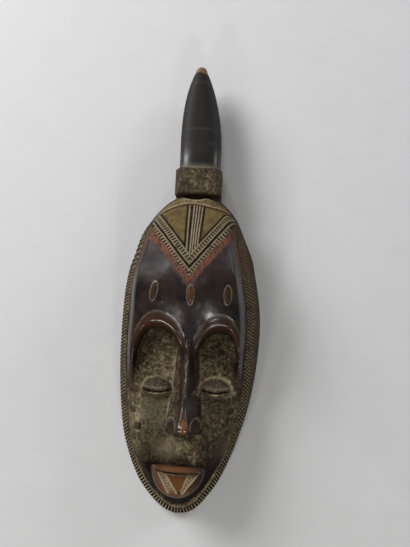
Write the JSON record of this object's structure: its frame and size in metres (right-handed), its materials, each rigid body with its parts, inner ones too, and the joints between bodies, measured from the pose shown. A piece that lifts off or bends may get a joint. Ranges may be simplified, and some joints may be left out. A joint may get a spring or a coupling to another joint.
{
  "type": "horned mask",
  "caption": "Long oval wooden face mask, hollow behind, with arched brows, closed eyes, a notched rim, a carved coiffure and a tall smooth horn above a block.",
  "frame": {"origin": "under the middle of the whole carving, on the surface that it lies on", "axes": "+Y from the chin to the tip of the horn, +X to the viewer's right, +Z out of the face"},
  "size_m": [0.141, 0.45, 0.0774],
  "materials": {
    "carved_wood": "dark polished patina, worn brown on the high points, ochre dust in the cuts"
  },
  "bodies": {
    "root": {"mask": "carved_wood"}
  },
  "joints": []
}
